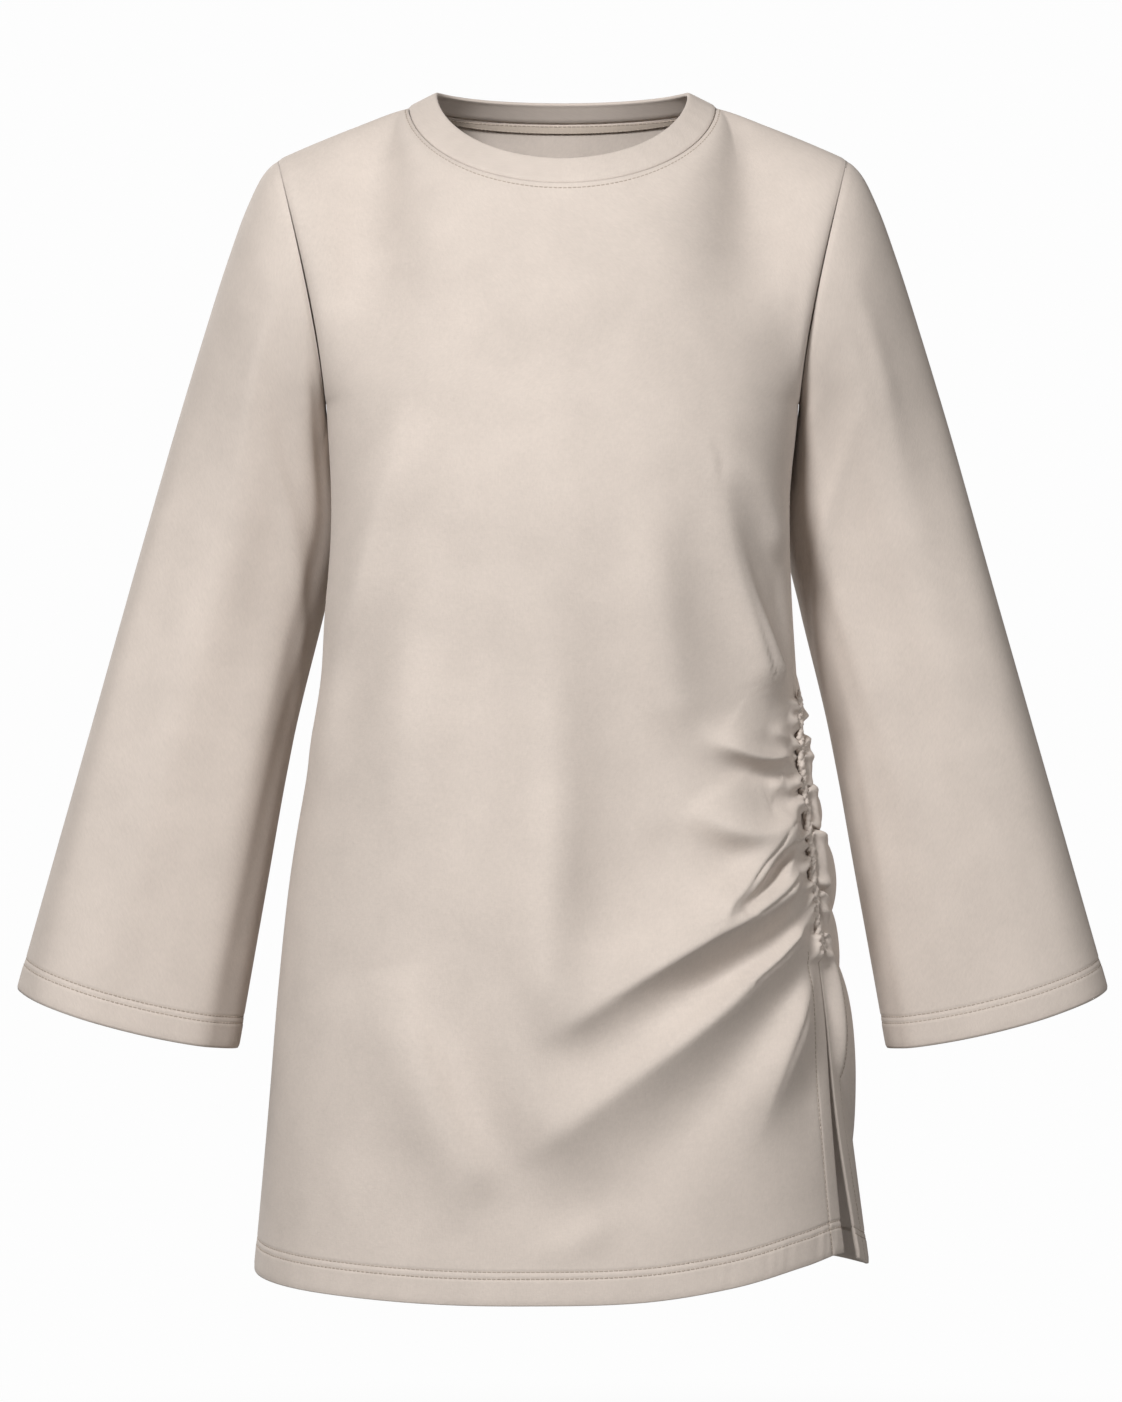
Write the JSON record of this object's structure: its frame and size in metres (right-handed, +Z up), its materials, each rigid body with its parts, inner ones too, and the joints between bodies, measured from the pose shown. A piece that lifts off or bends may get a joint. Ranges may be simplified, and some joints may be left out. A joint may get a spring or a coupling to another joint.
{
  "type": "tunic sweatshirt",
  "caption": "Long knit tunic sweatshirt with a crew neckband, flared set-in sleeves, one gathered side seam and a side slit, filled out as when worn.",
  "frame": {"origin": "midway between the two points where the shoulder seams meet the neckband, where a wearer's neck and shoulders hold the garment up", "axes": "+Z up, the front faces -Y, +X towards the gathered side, which is on the wearer's left"},
  "size_m": [0.7618, 0.2724, 0.8187],
  "materials": {
    "brushed_knit": "matt brushed knit, oatmeal",
    "neck_tape": "matt knit tape, oatmeal"
  },
  "bodies": {
    "root": {"front_panel": "brushed_knit", "back_panel": "brushed_knit", "sleeve_plain_side": "brushed_knit", "sleeve_gathered_side": "brushed_knit", "neckband": "brushed_knit", "back_neck_tape": "neck_tape", "seam_welt": "brushed_knit"}
  },
  "joints": []
}
